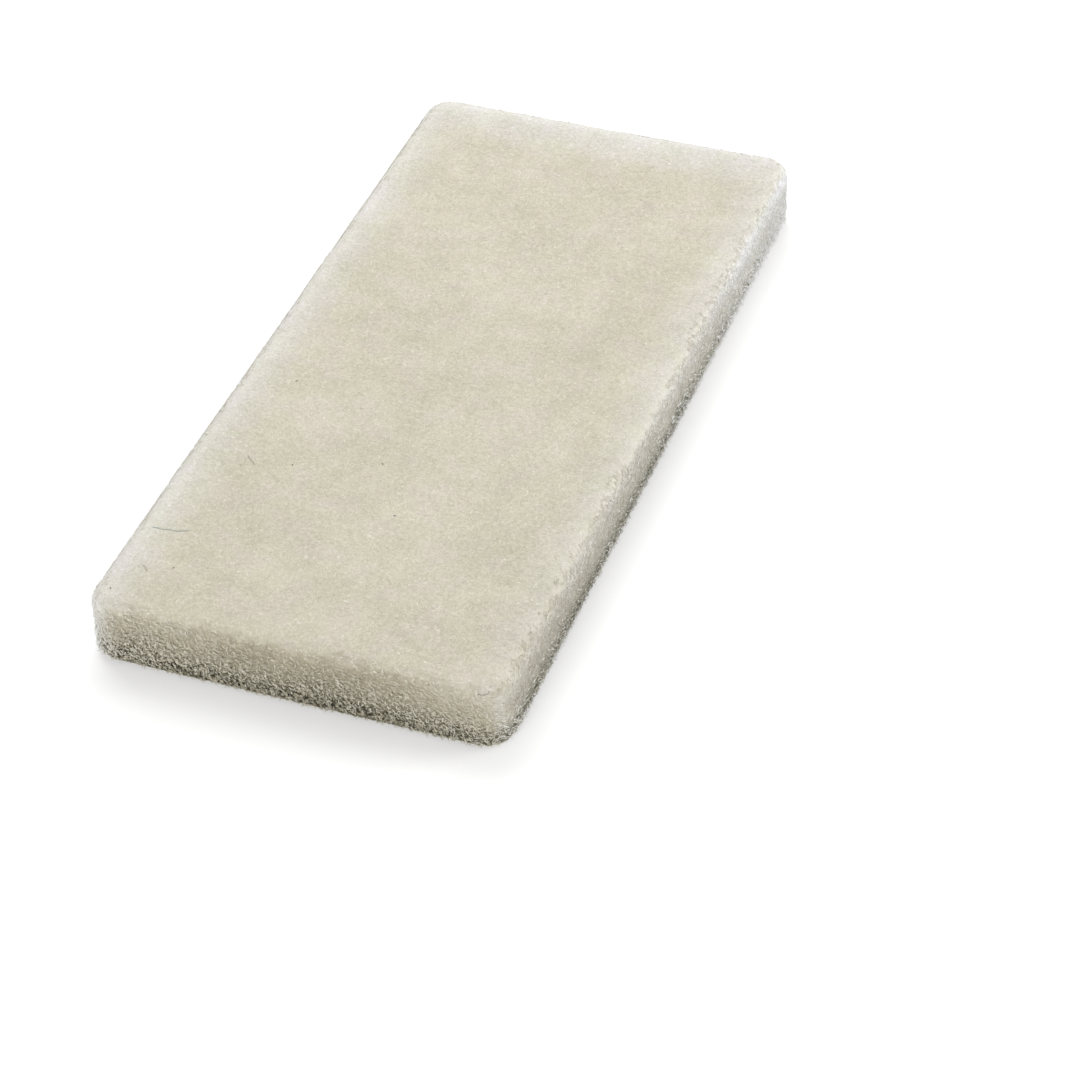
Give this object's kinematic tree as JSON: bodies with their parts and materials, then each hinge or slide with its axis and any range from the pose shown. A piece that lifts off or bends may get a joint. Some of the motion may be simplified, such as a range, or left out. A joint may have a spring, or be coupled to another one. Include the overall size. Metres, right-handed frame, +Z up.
{
  "type": "scouring pad",
  "caption": "Flat rectangular scouring pad of springy cream non-woven fibre, with round corners and soft, tufted cut sides, for scrubbing by hand or on a pad holder.",
  "frame": {"origin": "middle of the underside, the broad face that the pad rests on", "axes": "+X across the pad, +Y along its length, +Z up through its thickness"},
  "size_m": [0.1174, 0.254, 0.02],
  "materials": {
    "cream_fibre": "matte, springy web of fine curled cream fibres bonded at their crossings"
  },
  "bodies": {
    "root": {"scouring_pad": "cream_fibre"}
  },
  "joints": []
}
